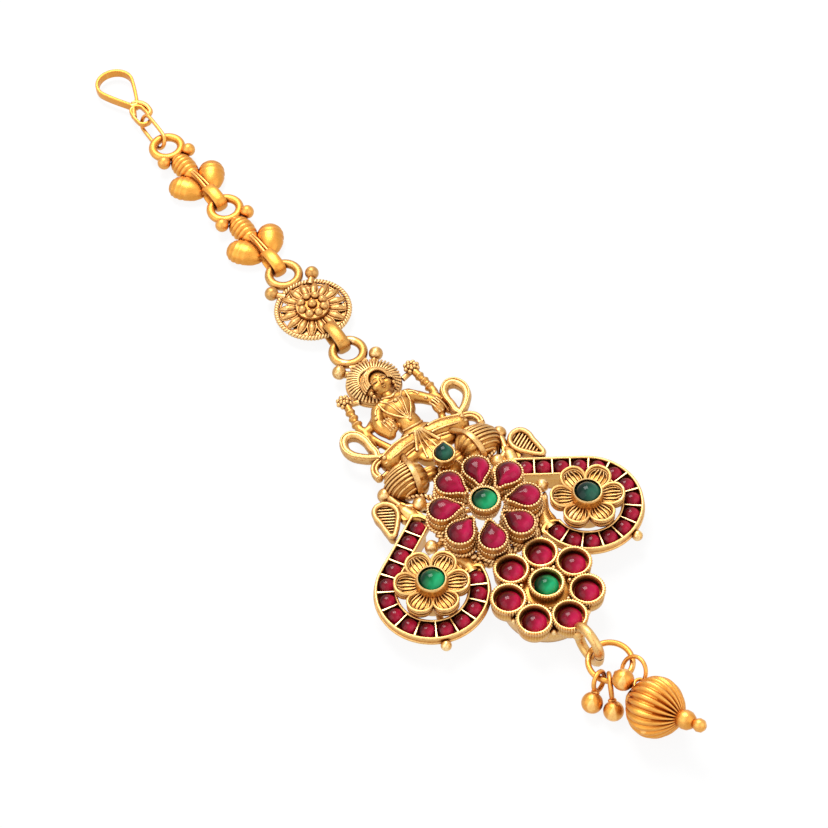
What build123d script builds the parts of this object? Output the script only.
"""Maang tikka: a forehead jewel with its hook, three ornamental links, a stone-set
pendant and a small cluster of drops, laid face up on a table.

Millimetres. While the pieces are made, X runs across the pendant, Y runs up the chain
towards the hook, Z is up and the middle of the upper flower stands at X = Y = 0.
Before the files are written, everything is moved so that the origin is the middle of
the bottom of the bounding box.
"""

import os
from math import acos, atan2, cos, degrees, hypot, radians, sin

from build123d import *

GAP = 0.06  # play between a stone and its setting

# ---- heights above the table ----
RING_LOW = 1.0  # underside of the flat cast rings
RING_THICK = 1.5
RING_MID = RING_LOW + RING_THICK / 2
RIM_TOP = 4.4  # top of the crescent channels
WALL_LOW = 2.4  # lower edge of the visible side walls
CUP_LOW = 2.55  # lower edge of the cups' walls
CUP_TOP = 5.5  # rims of the outer cups of the lower flower
PETAL_TOP = 7.6  # rims of the pear settings of the upper flower
FLOWER_CUP_TOP = 8.5  # rim of the middle setting of the upper flower

# ---- chain ----
RING_RADIUS = 2.5  # centre line of the cast rings
RING_SECTION = RING_THICK / 2
STRAP_WIDTH = 2.2
STRAP_THICK = 0.8
STRAP_PLAY = 0.17  # above and below the ring that a strap's eye holds
STRAP_REACH = 0.38  # between the eye's end and the bar of that ring
PENDANT_RING_Y = 40.4
TREFOIL_PITCH = 18.6
SUN_PITCH = 20.2
SUN_TURN = 0.8  # degrees, the gentle bend of the chain as it lies
TREFOIL_TURNS = (2.5, 4.0)
STRAP_CORNER = 0.9
STRAP_BORE_CORNER = 0.4

# ---- trefoil link, from the middle of its ring ----
BUD_SHOULDER = 1.5  # half width of the bud where it meets the ring
BUD_HALF = 2.15
BUD_FOOT = 0.4  # half width at the bud's tip
BUD_TOP = -3.0
BUD_WIDE = -4.9
BUD_TIP = -9.4
BUD_HEIGHT = 2.0
BUD_TAPER = 18.0  # degrees
PETAL_X = 2.7
PETAL_Y = -10.5
PETAL_LEAN = 33.0  # degrees
PETAL_LONG = 3.05
PETAL_HALF = 2.35
TREFOIL_BEAD = (2.55, -3.15, 2.1)
TREFOIL_BEAD_RADIUS = 1.2
TREFOIL_STRAP_FROM = -12.6
STALK = ((0, -8.6), (0, -13.6), 0.9)  # start, end, width
STALK_TOP = 3.2

# ---- sun link, from the middle of its ring ----
SUN_MIDDLE = -9.3
SUN_RADIUS = 6.0
SUN_LOW = 1.3
SUN_TOP = 2.5
SUN_ROPE = 0.45
SUN_COLLAR = 2.85
SUN_COLLAR_TOP = 3.3
SUN_BUTTON = 2.0
SUN_BUTTON_TOP = 4.1
SUN_HOLE = 0.6
SUN_HOLE_RING = 4.95
SUN_HOLE_ANGLES = (-134, -46, -174, -6)
SUN_BEAD = (3.95, -2.6, 2.1)
SUN_BEAD_RADIUS = 1.15
SUN_STEM = ((3.9, -2.9), (2.6, -4.2), 1.2)
SUN_STRAP_FROM = -13.2

# ---- upper flower ----
PEAR_COUNT = 8
PEAR_RING = 6.6  # from the flower's middle to the round end's centre
PEAR_RADIUS = 1.92
PEAR_POINT = 3.5  # from the round end's centre to the point
PEAR_WALL = 0.33
PEAR_HEIGHT = 1.35
PEAR_SEAT = 6.8
PETAL_LOW = 4.0
FLOWER_CUP_RADIUS = 2.45
FLOWER_CUP_LOW = 5.3
FLOWER_CUP_SEAT = 1.0  # depth of the middle stone's seat under the rim
FLOWER_BACK = (8.0, 6.3, 3.1, 4.65)  # radius, hole's radius, low, high
FLOWER_RING = (4.5, 3.3, 3.75, 4.95)
SPOKE_COUNT = 4
SPOKE_FROM = 2.0
SPOKE_TO = 4.2
SPOKE_WIDTH = 0.9
SPOKE_LOW = 5.4
SPOKE_HIGH = 6.2

# ---- lower flower ----
CUP_COUNT = 7
CUP_RING = 6.03
CUP_FLOWER_Y = -16.5
CUP_RADIUS = 2.74
CUP_BACK_RADIUS = 6.75
CUP_BORE = 2.15
CUP_DEPTH = 1.6
CUP_MIDDLE_TOP = 6.5
CUP_FLOOR = 1.6  # thickness of the floor that joins the cups
CUP_FLOOR_RADIUS = 4.0
CUP_BACK_TOP = CUP_LOW + 0.3
CUP_START = -90.0  # degrees, where the first cup stands
ROUND_RADIUS = 1.85
ROUND_HEIGHT = 1.0
EYE_Y = -27.4  # the upright eye that holds the drop ring
EYE_Z = 3.7
EYE_LONG = 6.8
EYE_TALL = 7.0
EYE_CORNER = 3.0
EYE_BORE_LONG = 3.7
EYE_BORE_TALL = 3.9
EYE_BORE_CORNER = 1.5
EYE_WIDTH = 1.6

# ---- paisleys ----
ROSETTE_X = 14.1
ROSETTE_Y = -7.0
SPINE_RADIUS = 6.95
SPINE_LEAVES_AT = 58.0  # degrees, where the channel turns from round to straight
SPINE_STRAIGHT = 9.2
SPINE_END_AT = -165.2
CHANNEL_COUNT = 14
CHANNEL_HALF = 1.3
CHANNEL_DEPTH = 1.0
OUTER_RIM = 0.65
INNER_RIM = 0.45
SMALL_RADIUS = 1.24
SMALL_HEIGHT = 1.0
ROSETTE_PETALS = 6
ROSETTE_REACH = 3.85
ROSETTE_PETAL_RADIUS = 2.0
ROSETTE_TOP = 7.5
ROSETTE_BEZEL = 2.35
ROSETTE_LOW = 5.0
ROSETTE_PETAL_TOP = 6.3
ROSETTE_STEM = (2.9, 1.4, 5.6)  # radius, low, high
ROSETTE_SEAT = 1.0  # depth of the stone's seat under the bezel's rim
GREEN_RADIUS = 1.95
GREEN_HEIGHT = 1.25
CHANNEL_END = 1.9  # wall past the first and last stones' middles
CHANNEL_POCKET_END = 1.3
DIVIDER_WIDTH = 0.22
BACKING_INWARD = 1.0
BACKING_BEFORE = 0.6
BACKING_AFTER = 1.5
HORN = (  # circles x, y, radius of two hulls
    ((7.25, -7.9, 1.6), (7.9, -4.7, 1.15)),
    ((7.9, -4.7, 1.15), (9.9, -1.8, 0.5)),
)
NECK = ((8.9, 6.0, 0.9), (10.3, 9.3, 0.7), (10.9, 6.4, 0.9))
NECK_TOP = 4.3
LEAF = ((12.5, 8.9, 1.95), (13.6, 4.6, 0.55))
LEAF_LOW = 2.8
LEAF_TOP = 4.6
STRUT_ANGLES = (-98, 150, 40)  # bars under the rosette, out to the channel
STRUT_FROM = 1.5
STRUT_TO = 5.6
STRUT_WIDTH = 2.0
JOINT_BEADS = ((7.2, 7.3, 3.9), (10.1, -0.65, 4.3))
JOINT_BEAD_RADIUS = 1.15
UPPER_JOINTS = [((4.6, 4.6), (9.0, 8.4), 1.6), ((7.6, -0.3), (10.9, -0.6), 1.4)]
UPPER_JOINT_HEIGHTS = (2.65, 4.2)
LOWER_JOINTS = [((8.2, -5.6), (4.2, -7.6), 1.1), ((8.9, -3.6), (6.4, -4.0), 1.1)]
LOWER_JOINT_HEIGHTS = (2.7, 3.6)

# ---- figure, domes and dark drop stone ----
HALO_Y = 32.4
HALO_RADIUS = 4.5
HALO_TOP = 2.9
HEAD = (0, 30.7, 3.4)
HEAD_RADIUS = 2.45
DOME_X = 7.0
DOME_Y = 12.1
DOME_Z = 3.4
DOME_RADIUS = 3.05
DARK_Y = 11.4
DARK_RADIUS = 1.45
DARK_POINT = 2.3
DARK_TOP = 7.5
DARK_LEAN = -120.0  # heading of the round end; the point looks up and right
DARK_WALL = 0.4
DARK_LOW = 2.0
DARK_SEAT = 0.8  # depth of the stone's seat under the rim
DARK_HEIGHT = 1.1
DOME_TILT = (20, 90, 0)
DOME_BAND_X = 4.9
DOME_BAND_WIDTH = 0.9
DOME_BAND_RADIUS = DOME_RADIUS + 0.2
DOME_BEAD = (10.35, 12.5, 3.3)
DOME_BEAD_RADIUS = 1.25
DOME_STALK = [((9.8, 8.9), (10.3, 12.3), 1.5)]
DOME_STALK_HEIGHTS = (2.6, 4.05)
DOME_ROOT = ((4.8, 12.6, 1.6), (2.4, 11.6, 0.8))
DOME_ROOT_HEIGHTS = (1.6, 4.6)
BUD_BALL = (0, 9.0, 3.4)  # under the dark stone
BUD_BALL_RADIUS = 1.7
SEAT_PLATE = ((0, 18.0, 1.4), (0, 12.0, 1.2))
SEAT_PLATE_HEIGHTS = (1.3, 3.45)

# The seated figure, right-hand half: hulls are circles x, y, radius; limbs are start,
# end, width; the two numbers that close each row are its lower and upper heights.
FIGURE_HULLS = (
    (((0.4, 27.2, 1.2), (2.6, 26.2, 1.2), (1.0, 20.2, 1.0), (0.2, 20.2, 1.0)), 1.0, 4.9),
    (((0.5, 17.2, 1.9), (5.3, 17.2, 1.8)), 1.0, 4.3),
)
FIGURE_LIMBS = (
    ([((3.2, 37.0), (2.2, 35.6), 1.3), ((0, 38.0), (0, 36.0), 2.4)], 1.1, 2.4),
    ([((3.0, 26.3), (4.1, 22.9), 1.7), ((4.1, 22.9), (3.4, 19.4), 1.9)], 1.25, 4.1),
    ([((7.2, 18.0), (6.9, 24.2), 1.3), ((6.9, 24.2), (6.4, 28.6), 1.5)], 1.2, 3.6),
    ([((6.9, 23.7), (4.75, 19.4), 1.3), ((6.2, 30.5), (3.9, 30.0), 1.2)], 1.3, 3.2),
    ([((6.4, 17.9), (8.7, 17.7), 1.2), ((8.7, 17.7), (9.7, 16.1), 1.1)], 1.6, 3.6),
    ([((4.4, 16.8), (5.3, 13.2), 1.0)], 1.2, 4.4),
)
FIGURE_BALLS = (((3.5, 37.3, 1.95), 1.15), ((6.3, 30.6, 2.6), 1.45))
SCROLL = ((9.3, 22.4, 2.35), (7.4, 18.7, 0.7))
SCROLL_HEIGHTS = (1.4, 3.9)
SCROLL_HOLE = ((9.2, 22.5, 1.05), (8.4, 20.8, 0.6))
SCROLL_HOLE_HEIGHTS = (1.0, 4.5)

# ---- hook and drops ----
HOOK_X = -2.7
HOOK_Y = 116.9  # middle of the round end
HOOK_RADIUS = 3.5
HOOK_STRIP = 0.6
HOOK_LOW = 0.75
HOOK_HEIGHT = 1.6
HOOK_EYE_RADIUS = 1.4
HOOK_EYE_STRIP = 0.5
HOOK_EYE_LOW = 1.35
HOOK_EYE_HEIGHT = 0.9
HOOK_EYE = ((HOOK_X + 0.15, 108.6), (HOOK_X + 0.15, 106.0))
HOOK_NECK = (HOOK_X + 0.5, 110.6)
HOOK_NECK_OUTER = 0.95
HOOK_NECK_INNER = 0.35
HOOK_BEAD = (HOOK_X + 2.2, 107.9, RING_MID)
HOOK_BEAD_RADIUS = 0.85
HOOK_RING_CENTRE = (-2.6, 102.5, 1.77)
HOOK_RING_LONG = 7.8
HOOK_RING_WIDE = 2.8
HOOK_RING_WIRE = 0.36
HOOK_RING_TILT = -58.0  # degrees, its right-hand side up
DROP_RING_CENTRE = (0.96, -31.5, 3.55)
DROP_RING_RADIUS = 3.25
DROP_WIRE = 0.45
LOOP_WIRE = 0.32
LOOP_SINK = 0.15  # how far a loop's wire goes into its ball
# ring angle, ball centre x, y, z, ball radius, loop radius, loop's turn
BALLS = (
    (206.0, -4.56, -34.79, 1.79, 1.60, 1.45, -13.0),
    (233.0, -2.70, -37.52, 1.60, 1.53, 1.85, 0.0),
    (257.0, -0.08, -36.15, 5.85, 1.65, 1.08, 0.0),
)
MELON_CENTRE = (1.47, -41.6)
MELON_RADIUS = 4.55
MELON_HALF = 4.0
MELON_AXIS = Vector(0.35, -0.89, 0.30).normalized()
MELON_STEM = (0.9, 3.0)  # length, width
MELON_EYE = (2.3, -37.0, 3.6)
MELON_EYE_AXIS = (0.9, 0.2, 0.3)
MELON_EYE_RADIUS = 0.85
MELON_EYE_WIRE = 0.28
MELON_RING_CENTRE = (2.7, -34.9, 3.9)
MELON_RING_RADIUS = 2.2
MELON_RING_AXIS = (0.77, -0.05, -0.64)
COLLAR_AT = 5.35  # along the melon's axis
COLLAR_RADIUS = 1.40
TIP_AT = 7.60
TIP_RADIUS = 1.02


# ---- shared shapes, each added to the part that is open when it is called ----
def along(start, end):
    """Middle, length and heading of the line between two points."""
    run, rise = end[0] - start[0], end[1] - start[1]
    middle = ((start[0] + end[0]) / 2, (start[1] + end[1]) / 2)
    return middle, hypot(run, rise), degrees(atan2(rise, run))


def bars(table, low, high):
    """Round-ended flat bars; each row of the table is start, end, width."""
    with BuildSketch(Plane.XY.offset(low)) as outline:
        for start, end, width in table:
            middle, length, heading = along(start, end)
            with Locations(Location((*middle, 0), (0, 0, heading))):
                SlotCenterToCenter(length, width)
    extrude(outline.sketch, amount=high - low)


def pillar(x, y, radius, low, high, mode=Mode.ADD):
    """Upright round post or pocket between two heights."""
    with BuildSketch(Plane.XY.offset(low)) as outline:
        with Locations((x, y)):
            Circle(radius)
    extrude(outline.sketch, amount=high - low, mode=mode)


def hull_face(*circles):
    """Face around a row of circles; each one is x, y, radius."""
    with BuildSketch(mode=Mode.PRIVATE) as outline:
        for x, y, radius in circles:
            with Locations((x, y)):
                Circle(radius)
        make_hull()
    return outline.sketch


def slab(face, low, high, mode=Mode.ADD):
    """A face drawn at Z = 0, made solid between two heights."""
    extrude(face.moved(Location((0, 0, low))), amount=high - low, mode=mode)


def drop_face(radius, point):
    """Drop-shaped face at the origin: a circle with a tangent point along -X."""
    lean = acos(radius / point)
    touch_x, touch_y = -radius * cos(lean), radius * sin(lean)
    with BuildSketch(mode=Mode.PRIVATE) as outline:
        Circle(radius)
        Polygon((touch_x, touch_y), (-point, 0), (touch_x, -touch_y), (0, 0), align=None)
    return outline.sketch


def ring_and_eye(pitch, strap_from):
    """A link's ring at the origin, and the strap eye that holds the next link's ring."""
    with Locations((0, 0, RING_MID)):
        Torus(RING_RADIUS, RING_SECTION)
    bar_y = RING_RADIUS - pitch
    bore_half = RING_SECTION + STRAP_PLAY
    bore_end = bar_y - RING_SECTION - STRAP_REACH
    bore_start = bar_y + RING_SECTION + 3 * STRAP_PLAY
    tall = 2 * (bore_half + STRAP_THICK)
    with BuildSketch(Plane.YZ.offset(-STRAP_WIDTH / 2)) as outline:
        with Locations(((bore_end - STRAP_THICK + strap_from) / 2, RING_MID)):
            RectangleRounded(strap_from - bore_end + STRAP_THICK, tall, STRAP_CORNER)
        with Locations(((bore_end + bore_start) / 2, RING_MID)):
            RectangleRounded(
                bore_start - bore_end,
                2 * bore_half,
                STRAP_BORE_CORNER,
                mode=Mode.SUBTRACT,
            )
    extrude(outline.sketch, amount=STRAP_WIDTH)


def placed(shape, x, y, turn):
    """A copy of a link at its place along the chain."""
    return shape.moved(Location((x, y, 0), (0, 0, turn)))


# ---- stones ----
def round_stone(radius, height, girdle=0.5):
    """Round cabochon standing on the origin: a short straight girdle and a dome."""
    with BuildPart() as stone:
        with BuildSketch(Plane.XZ):
            with BuildLine():
                Polyline((0, girdle + height), (0, 0), (radius, 0), (radius, girdle))
                RadiusArc(
                    (radius, girdle),
                    (0, girdle + height),
                    -(radius**2 + height**2) / (2 * height),
                )
            make_face()
        revolve(axis=Axis.Z)
    return stone.part


def drop_stone(radius, point, height, girdle=0.5):
    """Drop-shaped cabochon standing on the origin with its point along -X."""
    with BuildPart() as stone:
        with BuildSketch():
            add(drop_face(radius, point))
        extrude(amount=girdle)
        with BuildSketch(Plane.XY.offset(girdle)):
            add(drop_face(radius, point))
            split(bisect_by=Plane.XZ)
        revolve(axis=Axis((0, 0, girdle), (1, 0, 0)))
        with BuildSketch(Plane.XY.offset(girdle + height)):
            Rectangle(4 * point, 4 * point)
        extrude(amount=radius, mode=Mode.SUBTRACT)
        split(bisect_by=Plane.XY)
    return stone.part


# ---- trefoil link ----
with BuildPart() as petal:
    with BuildSketch(Plane.XY):
        Ellipse(PETAL_HALF, PETAL_LONG)
        split(bisect_by=Plane.YZ)
    revolve(axis=Axis.Y)
    with BuildSketch(Plane.XY):
        Rectangle(3 * PETAL_LONG, 3 * PETAL_LONG)
    extrude(amount=-2 * PETAL_HALF, mode=Mode.SUBTRACT)

with BuildPart() as trefoil:
    ring_and_eye(TREFOIL_PITCH, TREFOIL_STRAP_FROM)
    bead_x, bead_y, bead_z = TREFOIL_BEAD
    with Locations((bead_x, bead_y, bead_z), (-bead_x, bead_y, bead_z)):
        Sphere(TREFOIL_BEAD_RADIUS)
    with BuildSketch(Plane.XY.offset(RING_LOW)):
        with BuildLine():
            Spline((-BUD_SHOULDER, BUD_TOP), (-BUD_HALF, BUD_WIDE), (-BUD_FOOT, BUD_TIP))
            Line((-BUD_FOOT, BUD_TIP), (BUD_FOOT, BUD_TIP))
            Spline((BUD_FOOT, BUD_TIP), (BUD_HALF, BUD_WIDE), (BUD_SHOULDER, BUD_TOP))
            Line((BUD_SHOULDER, BUD_TOP), (-BUD_SHOULDER, BUD_TOP))
        make_face()
    extrude(amount=BUD_HEIGHT, taper=BUD_TAPER)
    for side in (-1, 1):
        lean = (0, 0, -side * PETAL_LEAN)
        with Locations(Location((side * PETAL_X, PETAL_Y, RING_LOW), lean)):
            add(petal.part)
    bars([STALK], RING_LOW, STALK_TOP)

# ---- sun link ----
with BuildPart() as sun_link:
    ring_and_eye(SUN_PITCH, SUN_STRAP_FROM)
    bead_x, bead_y, bead_z = SUN_BEAD
    (stem_x, stem_y), (root_x, root_y), stem_width = SUN_STEM
    for side in (-1, 1):
        with Locations((side * bead_x, bead_y, bead_z)):
            Sphere(SUN_BEAD_RADIUS)
        stem = ((side * stem_x, stem_y), (side * root_x, root_y), stem_width)
        bars([stem], SUN_LOW - 0.1, SUN_TOP + 0.1)
    pillar(0, SUN_MIDDLE, SUN_RADIUS, SUN_LOW, SUN_TOP)
    with Locations((0, SUN_MIDDLE, (SUN_LOW + SUN_TOP) / 2 - 0.1)):
        Torus(SUN_RADIUS, SUN_ROPE)
    pillar(0, SUN_MIDDLE, SUN_COLLAR, SUN_TOP - 0.2, SUN_COLLAR_TOP)
    pillar(0, SUN_MIDDLE, SUN_BUTTON, SUN_COLLAR_TOP - 0.3, SUN_BUTTON_TOP)
    for angle in SUN_HOLE_ANGLES:
        hole_x = SUN_HOLE_RING * cos(radians(angle))
        hole_y = SUN_MIDDLE + SUN_HOLE_RING * sin(radians(angle))
        pillar(hole_x, hole_y, SUN_HOLE, 0, SUN_COLLAR_TOP, mode=Mode.SUBTRACT)

# ---- hook and its ring ----
with BuildPart() as hook:
    inner_radius = HOOK_RADIUS - HOOK_STRIP
    outer = hull_face((HOOK_X, HOOK_Y, HOOK_RADIUS), (*HOOK_NECK, HOOK_NECK_OUTER))
    inner = hull_face((HOOK_X, HOOK_Y, inner_radius), (*HOOK_NECK, HOOK_NECK_INNER))
    slab(outer, HOOK_LOW, HOOK_LOW + HOOK_HEIGHT)
    slab(inner, HOOK_LOW - 1, HOOK_LOW + HOOK_HEIGHT + 1, Mode.SUBTRACT)
    eye_bore = HOOK_EYE_RADIUS - HOOK_EYE_STRIP
    outer = hull_face((*HOOK_EYE[0], HOOK_EYE_RADIUS), (*HOOK_EYE[1], HOOK_EYE_RADIUS))
    inner = hull_face((*HOOK_EYE[0], eye_bore), (*HOOK_EYE[1], eye_bore))
    slab(outer, HOOK_EYE_LOW, HOOK_EYE_LOW + HOOK_EYE_HEIGHT)
    slab(inner, HOOK_LOW, HOOK_LOW + HOOK_HEIGHT, Mode.SUBTRACT)
    with Locations(HOOK_BEAD):
        Sphere(HOOK_BEAD_RADIUS)


def wire_oval(long, wide, wire):
    """Closed oval of round wire in the XY plane, its long way along Y."""
    half_run = (long - wide) / 2
    with BuildPart() as oval:
        with BuildLine() as path:
            JernArc((wide / 2, half_run), (0, 1), wide / 2, 180)
            Line((-wide / 2, half_run), (-wide / 2, -half_run))
            JernArc((-wide / 2, -half_run), (0, -1), wide / 2, 180)
            Line((wide / 2, -half_run), (wide / 2, half_run))
        with BuildSketch(Plane(origin=(wide / 2, half_run, 0), z_dir=(0, 1, 0))):
            Circle(wire)
        sweep(path=path.line)
    return oval.part


# ---- drops ----
def wire_ring(centre, axis, radius, wire):
    """Ring of round wire about a point, its hole along the axis."""
    with BuildPart(Plane(origin=centre, z_dir=axis)) as ring:
        Torus(radius, wire)
    return ring.part


def on_drop_ring(angle):
    """Point on the wire of the drop ring, and the direction of the wire there."""
    heading = radians(angle)
    offset = Vector(cos(heading), sin(heading), 0) * DROP_RING_RADIUS
    return Vector(*DROP_RING_CENTRE) + offset, Vector(-sin(heading), cos(heading), 0)


def ball_drop(angle, x, y, z, ball, loop, turn):
    """Solid ball with a soldered wire loop that goes around the drop ring."""
    hold, wire_heading = on_drop_ring(angle)
    ball_at = Vector(x, y, z)
    reach = (hold - ball_at).normalized()
    loop_at = ball_at + reach * (ball + loop + LOOP_WIRE - LOOP_SINK)
    facing = (wire_heading - reach * wire_heading.dot(reach)).normalized()
    facing = facing * cos(radians(turn)) + reach.cross(facing) * sin(radians(turn))
    with BuildPart() as drop:
        with Locations(ball_at):
            Sphere(ball)
        add(wire_ring(loop_at, facing, loop, LOOP_WIRE))
    return drop.part


with BuildPart() as melon_drop:
    melon_at = Vector(*MELON_CENTRE, MELON_RADIUS + 0.05)
    with BuildSketch(Plane(melon_at, x_dir=MELON_AXIS, z_dir=MELON_AXIS.cross(Vector(0, 0, 1)))):
        Ellipse(MELON_HALF, MELON_RADIUS)
        with Locations((-MELON_HALF, 0)):
            Rectangle(*MELON_STEM)
        with Locations((COLLAR_AT, 0)):
            Circle(COLLAR_RADIUS)
        with Locations((TIP_AT, 0)):
            Circle(TIP_RADIUS)
        with Locations((0, -MELON_RADIUS)):
            Rectangle(8 * MELON_RADIUS, 2 * MELON_RADIUS, mode=Mode.SUBTRACT)
    revolve(axis=Axis(melon_at, MELON_AXIS))
    add(wire_ring(MELON_EYE, MELON_EYE_AXIS, MELON_EYE_RADIUS, MELON_EYE_WIRE))

# ---- upper flower ----
PETAL_START = 360 / PEAR_COUNT / 2
PEAR_OUTER = PEAR_RADIUS + PEAR_WALL
PEAR_OUTER_POINT = PEAR_POINT * PEAR_OUTER / PEAR_RADIUS
PEAR_BORE = PEAR_RADIUS + GAP
PEAR_BORE_POINT = PEAR_POINT * PEAR_BORE / PEAR_RADIUS



def annulus(radius, hole, low, high):
    """Flat ring around the flower's middle."""
    with BuildSketch(Plane.XY.offset(low)) as outline:
        Circle(radius)
        Circle(hole, mode=Mode.SUBTRACT)
    extrude(outline.sketch, amount=high - low)


with BuildPart() as upper_flower:
    with BuildSketch(Plane.XY.offset(PETAL_LOW)):
        with PolarLocations(PEAR_RING, PEAR_COUNT, start_angle=PETAL_START):
            add(drop_face(PEAR_OUTER, PEAR_OUTER_POINT))
    extrude(amount=PETAL_TOP - PETAL_LOW)
    annulus(*FLOWER_BACK)
    annulus(*FLOWER_RING)
    pillar(0, 0, FLOWER_CUP_RADIUS, FLOWER_CUP_LOW, FLOWER_CUP_TOP)
    with BuildSketch(Plane.XY.offset(PEAR_SEAT - GAP)):
        with PolarLocations(PEAR_RING, PEAR_COUNT, start_angle=PETAL_START):
            add(drop_face(PEAR_BORE, PEAR_BORE_POINT))
    extrude(amount=PETAL_TOP, mode=Mode.SUBTRACT)
    seat = FLOWER_CUP_TOP - FLOWER_CUP_SEAT - GAP
    pillar(0, 0, GREEN_RADIUS + GAP, seat, 2 * FLOWER_CUP_TOP, mode=Mode.SUBTRACT)


# ---- lower flower ----
def cups(radius, low, high, mode=Mode.ADD):
    """Seven round posts or pockets around the lower flower's middle."""
    with BuildSketch(Plane.XY.offset(low)) as outline:
        with Locations((0, CUP_FLOWER_Y)):
            with PolarLocations(CUP_RING, CUP_COUNT, start_angle=CUP_START):
                Circle(radius)
    extrude(outline.sketch, amount=high - low, mode=mode)


with BuildPart() as lower_flower:
    with BuildSketch(Plane.XY.offset(CUP_LOW)):
        with Locations((0, CUP_FLOWER_Y)):
            with PolarLocations(CUP_RING, CUP_COUNT, start_angle=CUP_START):
                Circle(CUP_RADIUS)
            Circle(CUP_FLOOR_RADIUS)
    extrude(amount=CUP_FLOOR)
    cups(CUP_RADIUS, CUP_LOW, CUP_TOP)
    pillar(0, CUP_FLOWER_Y, CUP_RADIUS, CUP_LOW, CUP_MIDDLE_TOP)
    pillar(0, CUP_FLOWER_Y, CUP_BACK_RADIUS, 0, CUP_BACK_TOP)
    with BuildSketch(Plane.YZ.offset(-EYE_WIDTH / 2)):
        with Locations((EYE_Y, EYE_Z)):
            RectangleRounded(EYE_LONG, EYE_TALL, EYE_CORNER)
            RectangleRounded(EYE_BORE_LONG, EYE_BORE_TALL, EYE_BORE_CORNER, mode=Mode.SUBTRACT)
    extrude(amount=EYE_WIDTH)
    cups(CUP_BORE, CUP_TOP - CUP_DEPTH, 2 * CUP_TOP, Mode.SUBTRACT)
    seat = CUP_MIDDLE_TOP - CUP_DEPTH
    pillar(0, CUP_FLOWER_Y, CUP_BORE, seat, 2 * CUP_TOP, mode=Mode.SUBTRACT)

# ---- right-hand paisley ----
TURN = radians(SPINE_LEAVES_AT)
LEAVE = (ROSETTE_X + SPINE_RADIUS * cos(TURN), ROSETTE_Y + SPINE_RADIUS * sin(TURN))
ARC = radians(SPINE_LEAVES_AT - SPINE_END_AT) * SPINE_RADIUS
STONE_PITCH = (SPINE_STRAIGHT + ARC) / (CHANNEL_COUNT - 1)


def spine(run, offset=0.0):
    """Point on the channel's middle line, run mm after the first stone, and its heading."""
    if run < SPINE_STRAIGHT:
        back = SPINE_STRAIGHT - run
        x = LEAVE[0] + offset * cos(TURN) - back * sin(TURN)
        y = LEAVE[1] + offset * sin(TURN) + back * cos(TURN)
        return x, y, TURN
    angle = TURN - (run - SPINE_STRAIGHT) / SPINE_RADIUS
    reach = SPINE_RADIUS + offset
    return ROSETTE_X + reach * cos(angle), ROSETTE_Y + reach * sin(angle), angle


def channel_face(outward, inward, before, after):
    """Band along the channel's middle line, wider outward than inward."""
    end_run = (CHANNEL_COUNT - 1) * STONE_PITCH + after
    start_out = spine(-before, outward)[:2]
    start_in = spine(-before, -inward)[:2]
    leave_out = spine(SPINE_STRAIGHT, outward)[:2]
    leave_in = spine(SPINE_STRAIGHT, -inward)[:2]
    middle_run = (SPINE_STRAIGHT + end_run) / 2
    with BuildSketch(mode=Mode.PRIVATE) as band:
        with BuildLine():
            Line(start_out, leave_out)
            ThreePointArc(leave_out, spine(middle_run, outward)[:2], spine(end_run, outward)[:2])
            Line(spine(end_run, outward)[:2], spine(end_run, -inward)[:2])
            ThreePointArc(spine(end_run, -inward)[:2], spine(middle_run, -inward)[:2], leave_in)
            Line(leave_in, start_in)
            Line(start_in, start_out)
        make_face()
    return band.sketch


def rosette_point(angle, reach):
    """Point around the middle of the rosette."""
    return ROSETTE_X + reach * cos(radians(angle)), ROSETTE_Y + reach * sin(radians(angle))


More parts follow.
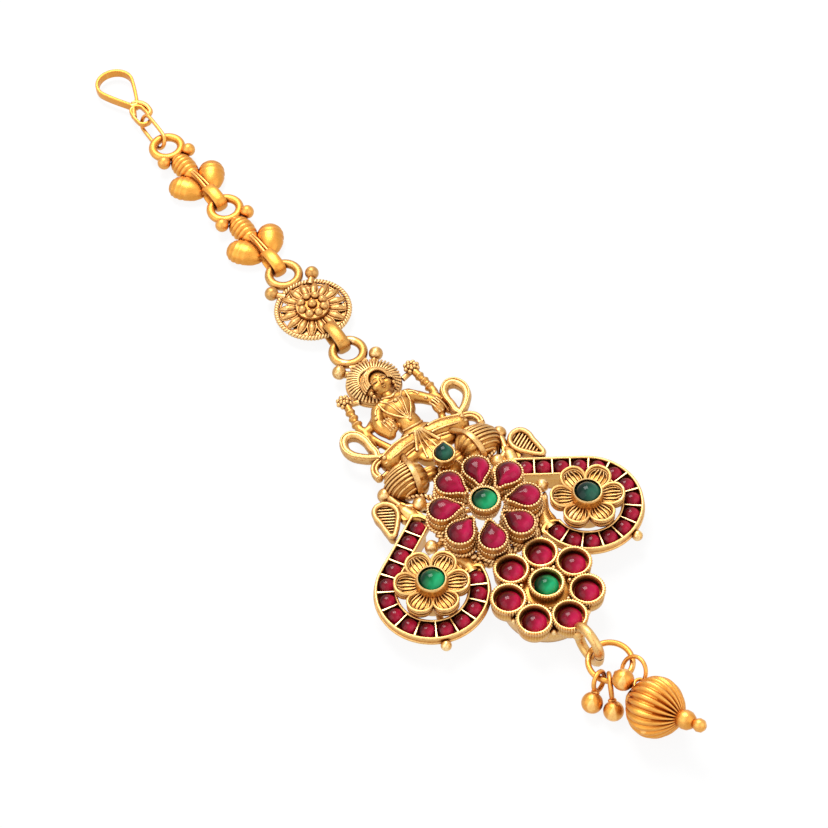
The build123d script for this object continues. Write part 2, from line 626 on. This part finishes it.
with BuildPart() as paisley:
    walls = channel_face(
        CHANNEL_HALF + OUTER_RIM,
        CHANNEL_HALF + INNER_RIM,
        CHANNEL_END,
        CHANNEL_END,
    )
    slab(walls, WALL_LOW, RIM_TOP)
    backing = channel_face(BACKING_INWARD, CHANNEL_HALF, BACKING_BEFORE, BACKING_AFTER)
    slab(backing, 0, WALL_LOW)
    for circles in HORN:
        slab(hull_face(*circles), WALL_LOW, RIM_TOP - 0.15)
    slab(hull_face(*NECK), WALL_LOW, NECK_TOP)
    slab(hull_face(*LEAF), LEAF_LOW, LEAF_TOP)
    pocket_end = CHANNEL_POCKET_END
    channel = channel_face(CHANNEL_HALF, CHANNEL_HALF, pocket_end, pocket_end)
    slab(channel, RIM_TOP - CHANNEL_DEPTH, RIM_TOP + 1, Mode.SUBTRACT)
    dividers = []
    for cell in range(1, CHANNEL_COUNT):
        run = (cell - 0.5) * STONE_PITCH
        out_x, out_y, _ = spine(run, CHANNEL_HALF + 0.1)
        in_x, in_y, _ = spine(run, -CHANNEL_HALF - 0.1)
        dividers.append(((out_x, out_y), (in_x, in_y), DIVIDER_WIDTH))
    bars(dividers, RIM_TOP - CHANNEL_DEPTH - 0.1, RIM_TOP - 0.15)
    struts = []
    for angle in STRUT_ANGLES:
        inner = rosette_point(angle, STRUT_FROM)
        outer = rosette_point(angle, STRUT_TO)
        struts.append((inner, outer, STRUT_WIDTH))
    bars(struts, WALL_LOW, RIM_TOP - CHANNEL_DEPTH - 0.05)
    pillar(ROSETTE_X, ROSETTE_Y, *ROSETTE_STEM)
    with BuildSketch(Plane.XY.offset(ROSETTE_LOW)):
        with Locations((ROSETTE_X, ROSETTE_Y)):
            with PolarLocations(ROSETTE_REACH, ROSETTE_PETALS, start_angle=90):
                Circle(ROSETTE_PETAL_RADIUS)
    extrude(amount=ROSETTE_PETAL_TOP - ROSETTE_LOW)
    pillar(ROSETTE_X, ROSETTE_Y, ROSETTE_BEZEL, ROSETTE_LOW, ROSETTE_TOP)
    seat = ROSETTE_TOP - ROSETTE_SEAT - GAP
    bore = GREEN_RADIUS + GAP
    pillar(ROSETTE_X, ROSETTE_Y, bore, seat, 2 * ROSETTE_TOP, mode=Mode.SUBTRACT)
    with Locations(*JOINT_BEADS):
        Sphere(JOINT_BEAD_RADIUS)
    bars(UPPER_JOINTS, *UPPER_JOINT_HEIGHTS)
    bars(LOWER_JOINTS, *LOWER_JOINT_HEIGHTS)

# ---- seated figure with its halo, scrolls and domes ----
with BuildPart() as figure_half:
    for centre, radius in FIGURE_BALLS:
        with Locations(centre):
            Sphere(radius)
    for circles, low, high in FIGURE_HULLS:
        slab(hull_face(*circles), low, high)
    for limbs, low, high in FIGURE_LIMBS[:4]:
        bars(limbs, low, high)
    slab(hull_face(*SCROLL), *SCROLL_HEIGHTS)
    slab(hull_face(*SCROLL_HOLE), *SCROLL_HOLE_HEIGHTS, Mode.SUBTRACT)
    for limbs, low, high in FIGURE_LIMBS[4:]:
        bars(limbs, low, high)

with BuildPart() as dome:
    with Locations((DOME_X, DOME_Y, DOME_Z)):
        Sphere(DOME_RADIUS, rotation=DOME_TILT)
    with BuildSketch(Plane.YZ.offset(DOME_BAND_X)):
        with Locations((DOME_Y, DOME_Z)):
            Circle(DOME_BAND_RADIUS)
    extrude(amount=DOME_BAND_WIDTH)
    with Locations(DOME_BEAD):
        Sphere(DOME_BEAD_RADIUS)
    bars(DOME_STALK, *DOME_STALK_HEIGHTS)
    slab(hull_face(*DOME_ROOT), *DOME_ROOT_HEIGHTS)
    split(bisect_by=Plane.XY)


def dark_post(grow, low, high, mode=Mode.ADD):
    """Post or pocket in the dark stone's outline, grown by a margin."""
    radius = DARK_RADIUS + grow
    with BuildSketch(Plane.XY.offset(low)) as outline:
        with Locations(Location((0, DARK_Y, 0), (0, 0, DARK_LEAN))):
            add(drop_face(radius, DARK_POINT * radius / DARK_RADIUS))
    extrude(outline.sketch, amount=high - low, mode=mode)


with BuildPart() as bezel_and_plates:
    pillar(0, HALO_Y, HALO_RADIUS, RING_LOW, HALO_TOP)
    with Locations((0, PENDANT_RING_Y, RING_MID)):
        Torus(RING_RADIUS, RING_SECTION)
    with Locations(HEAD):
        Sphere(HEAD_RADIUS)
    with Locations(BUD_BALL):
        Sphere(BUD_BALL_RADIUS)
    dark_post(DARK_WALL, DARK_LOW, DARK_TOP)
    dark_post(GAP, DARK_TOP - DARK_SEAT - GAP, 2 * DARK_TOP, Mode.SUBTRACT)
    slab(hull_face(*SEAT_PLATE), *SEAT_PLATE_HEIGHTS)

with BuildPart() as sides:
    add(paisley.part)
    mirror(about=Plane.YZ)
    add(lower_flower.part)

with BuildPart() as figure:
    add(figure_half.part)
    add(dome.part)
    mirror(about=Plane.YZ)
    add(bezel_and_plates.part)

with BuildPart() as pendant_frame:
    add(sides.part)
    add(upper_flower.part)
    for number in range(SPOKE_COUNT):
        angle = radians(PETAL_START + number * 360 / PEAR_COUNT)
        inner = (SPOKE_FROM * cos(angle), SPOKE_FROM * sin(angle))
        outer = (SPOKE_TO * cos(angle), SPOKE_TO * sin(angle))
        bars([(inner, outer, SPOKE_WIDTH)], SPOKE_LOW, SPOKE_HIGH)
    add(figure.part)

# ---- the pieces, each under its node's name ----
pieces = {"pendant_frame": pendant_frame.part}


def keep(name, shape):
    """Register one finished piece."""
    pieces[name] = shape


ring_x, ring_y = 0.0, PENDANT_RING_Y
ring_x -= SUN_PITCH * sin(radians(SUN_TURN))
ring_y += SUN_PITCH * cos(radians(SUN_TURN))
keep("sun_link", placed(sun_link.part, ring_x, ring_y, SUN_TURN))
for number, turn in enumerate(TREFOIL_TURNS, start=1):
    ring_x -= TREFOIL_PITCH * sin(radians(turn))
    ring_y += TREFOIL_PITCH * cos(radians(turn))
    keep(f"trefoil_link_{number}", placed(trefoil.part, ring_x, ring_y, turn))

keep("hook", hook.part)
oval = wire_oval(HOOK_RING_LONG, HOOK_RING_WIDE, HOOK_RING_WIRE)
keep("hook_ring", oval.moved(Location(HOOK_RING_CENTRE, (0, HOOK_RING_TILT, 0))))
keep("drop_ring", wire_ring(DROP_RING_CENTRE, (0, 0, 1), DROP_RING_RADIUS, DROP_WIRE))
for number, row in enumerate(BALLS, start=1):
    keep(f"ball_drop_{number}", ball_drop(*row))
keep("melon_ring", wire_ring(MELON_RING_CENTRE, MELON_RING_AXIS, MELON_RING_RADIUS, LOOP_WIRE))
keep("melon_drop", melon_drop.part)

pear = drop_stone(PEAR_RADIUS, PEAR_POINT, PEAR_HEIGHT)
for number in range(PEAR_COUNT):
    angle = PETAL_START + number * 360 / PEAR_COUNT
    x, y = PEAR_RING * cos(radians(angle)), PEAR_RING * sin(radians(angle))
    keep(f"pear_ruby_{number + 1}", pear.moved(Location((x, y, PEAR_SEAT), (0, 0, angle))))

cup_stone = round_stone(ROUND_RADIUS, ROUND_HEIGHT)
for number in range(CUP_COUNT):
    angle = radians(CUP_START + number * 360 / CUP_COUNT)
    x, y = CUP_RING * cos(angle), CUP_FLOWER_Y + CUP_RING * sin(angle)
    seat = CUP_TOP - CUP_DEPTH + GAP
    keep(f"round_ruby_{number + 1}", cup_stone.moved(Location((x, y, seat))))

green_stone = round_stone(GREEN_RADIUS, GREEN_HEIGHT)
keep("green_upper", green_stone.moved(Location((0, 0, FLOWER_CUP_TOP - FLOWER_CUP_SEAT))))
lower_stone = round_stone(ROUND_RADIUS, GREEN_HEIGHT)
lower_seat = CUP_MIDDLE_TOP - CUP_DEPTH + GAP
keep("green_lower", lower_stone.moved(Location((0, CUP_FLOWER_Y, lower_seat))))
for side, name in ((-1, "left"), (1, "right")):
    spot = Location((side * ROSETTE_X, ROSETTE_Y, ROSETTE_TOP - ROSETTE_SEAT))
    keep(f"green_{name}", green_stone.moved(spot))
dark = drop_stone(DARK_RADIUS, DARK_POINT, DARK_HEIGHT)
spot = Location((0, DARK_Y, DARK_TOP - DARK_SEAT), (0, 0, DARK_LEAN))
keep("green_drop", dark.moved(spot))

small_stone = round_stone(SMALL_RADIUS, SMALL_HEIGHT * 0.75, SMALL_HEIGHT * 0.4)
for side, name in ((-1, "left"), (1, "right")):
    for number in range(CHANNEL_COUNT):
        x, y, _ = spine(number * STONE_PITCH)
        spot = Location((side * x, y, RIM_TOP - CHANNEL_DEPTH + GAP))
        keep(f"channel_ruby_{name}_{number + 1:02d}", small_stone.moved(spot))

# ---- origin at the middle of the bottom of the bounding box, then the files ----
boxes = [piece.bounding_box() for piece in pieces.values()]
low_x, high_x = min(b.min.X for b in boxes), max(b.max.X for b in boxes)
low_y, high_y = min(b.min.Y for b in boxes), max(b.max.Y for b in boxes)
low_z, high_z = min(b.min.Z for b in boxes), max(b.max.Z for b in boxes)
shift = Location((-(low_x + high_x) / 2, -(low_y + high_y) / 2, -low_z))

os.makedirs("parts", exist_ok=True)
for name, piece in pieces.items():
    moved = piece.moved(shift)
    moved.label = name
    export_step(moved, f"parts/{name}.step")
